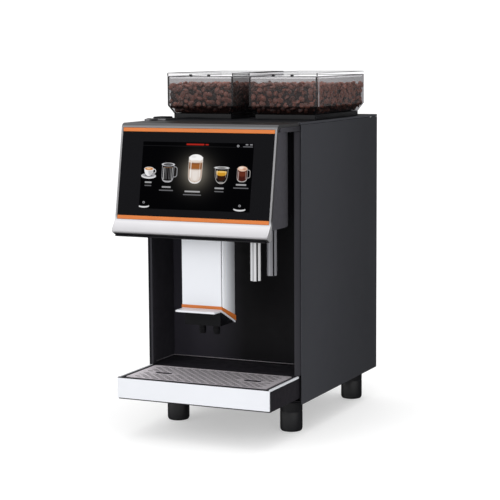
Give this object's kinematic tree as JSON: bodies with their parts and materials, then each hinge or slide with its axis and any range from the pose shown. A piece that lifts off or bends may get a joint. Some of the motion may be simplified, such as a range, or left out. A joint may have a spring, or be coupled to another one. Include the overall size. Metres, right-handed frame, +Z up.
{
  "type": "bean-to-cup coffee machine",
  "caption": "Counter-top bean-to-cup coffee machine: leaning touch-screen head on a side hinge, sliding spout, water and steam outlets, drip tray with grate, clear bean hoppers.",
  "frame": {"origin": "on the counter, at the centre of the overall footprint (from the chin at the front to the rear panel)", "axes": "+Z up, +X to the right as seen from the front; the machine faces -Y"},
  "size_m": [0.3, 0.508, 0.63],
  "materials": {
    "charcoal_paint": "matte powder coat",
    "charcoal_plastic": "fine texture",
    "black_plastic": "fine texture",
    "silver_paint": "silver lacquer",
    "white_silver": "pearl white silver",
    "orange_trim": "satin",
    "screen_glass": "black-backed cover glass",
    "display_metal": "plain",
    "brushed_stainless": "brushed",
    "polished_steel": "polished",
    "smoked_clear": "smoked, transparent",
    "clear_plastic": "transparent",
    "foot_rubber": "matte",
    "zinc_steel": "zinc plated sheet",
    "boiler_steel": "drawn stainless",
    "motor_case": "satin",
    "board_green": "solder mask",
    "brass": "machined"
  },
  "bodies": {
    "chassis": {"base_chassis": "zinc_steel", "foot_front_left": "foot_rubber", "foot_front_right": "foot_rubber", "foot_rear_left": "foot_rubber", "foot_rear_right": "foot_rubber", "tray_cradle": "black_plastic", "side_panel_left": "charcoal_paint", "side_panel_right": "charcoal_paint", "front_post_left": "charcoal_plastic", "front_post_right": "charcoal_plastic", "splash_panel": "black_plastic", "top_cover": "charcoal_paint", "rear_panel": "charcoal_paint", "mains_inlet": "black_plastic", "water_inlet": "brass", "hopper_left": "smoked_clear", "hopper_right": "smoked_clear", "grinder_housing_left": "black_plastic", "grinder_housing_right": "black_plastic", "grinder_motor_left": "motor_case", "grinder_motor_right": "motor_case", "brew_frame": "black_plastic", "brew_chamber": "boiler_steel", "brew_gearmotor": "motor_case", "grounds_container": "black_plastic", "water_pump": "motor_case", "coffee_boiler": "boiler_steel", "steam_boiler": "boiler_steel", "boiler_pipe": "brass", "control_board": "board_green", "fan_housing": "black_plastic", "hinge_plate_upper": "black_plastic", "hinge_bracket_lower": "black_plastic", "door_magnet": "zinc_steel"},
    "door": {"head_shell": "charcoal_plastic", "fascia": "silver_paint", "trim_upper": "orange_trim", "trim_lower": "orange_trim", "screen_glass": "screen_glass", "display_module": "display_metal", "hot_water_outlet": "polished_steel", "steam_outlet": "polished_steel", "catch_plate": "zinc_steel", "spout_rail": "brushed_stainless"},
    "spout": {"spout_cover": "white_silver", "spout_trim": "orange_trim", "spout_lip": "white_silver", "spout_block": "black_plastic"},
    "tray": {"drip_tray": "black_plastic", "tray_fascia": "white_silver"},
    "grate": {"drip_grate": "brushed_stainless"},
    "lid_left": {"hopper_lid_left": "clear_plastic"},
    "lid_right": {"hopper_lid_right": "clear_plastic"},
    "burr_left": {"burr_left": "brushed_stainless"},
    "burr_right": {"burr_right": "brushed_stainless"},
    "brew_screw": {"brew_screw": "brushed_stainless"},
    "brew_piston": {"brew_piston": "black_plastic"},
    "fan_rotor": {"fan_rotor": "black_plastic"},
    "power_rocker": {"power_rocker": "black_plastic"}
  },
  "joints": [
    {"name": "door_hinge", "type": "hinge", "parent": "chassis", "child": "door", "pos_m": [-0.138, -0.127, 0.46], "axis": [0, 0, 1], "range_deg": [-90, 0]},
    {"name": "spout_slide", "type": "slide", "parent": "door", "child": "spout", "axis": [0, 0, 1], "range_m": [-0.025, 0.06]},
    {"name": "tray_slide", "type": "slide", "parent": "chassis", "child": "tray", "axis": [0, -1, 0], "range_m": [0, 0.12]},
    {"name": "grate_lift", "type": "slide", "parent": "tray", "child": "grate", "axis": [0, 0, 1], "range_m": [0, 0.05]},
    {"name": "lid_left_lift", "type": "slide", "parent": "chassis", "child": "lid_left", "axis": [0, 0, 1], "range_m": [0, 0.06]},
    {"name": "lid_right_lift", "type": "slide", "parent": "chassis", "child": "lid_right", "axis": [0, 0, 1], "range_m": [0, 0.06]},
    {"name": "burr_left_spin", "type": "hinge", "parent": "chassis", "child": "burr_left", "pos_m": [-0.0815, 0.076, 0.48], "axis": [0, 0, 1], "continuous": true},
    {"name": "burr_right_spin", "type": "hinge", "parent": "chassis", "child": "burr_right", "pos_m": [0.0815, 0.076, 0.48], "axis": [0, 0, 1], "continuous": true},
    {"name": "brew_screw_turn", "type": "hinge", "parent": "chassis", "child": "brew_screw", "pos_m": [0.03, 0.049, 0.345], "axis": [0, 0, 1], "range_deg": [0, 900]},
    {"name": "brew_piston_slide", "type": "slide", "parent": "chassis", "child": "brew_piston", "axis": [0, 0, -1], "range_m": [0, 0.03]},
    {"name": "fan_spin", "type": "hinge", "parent": "chassis", "child": "fan_rotor", "pos_m": [-0.085, 0.236, 0.455], "axis": [0, 1, 0], "continuous": true},
    {"name": "power_rocker_tilt", "type": "hinge", "parent": "chassis", "child": "power_rocker", "pos_m": [0.082, 0.246, 0.105], "axis": [1, 0, 0], "range_deg": [-8, 8]}
  ],
  "couplings": [
    {"joint": "brew_screw_turn", "follows": "brew_piston_slide", "rad_per_m": 523.59}
  ]
}
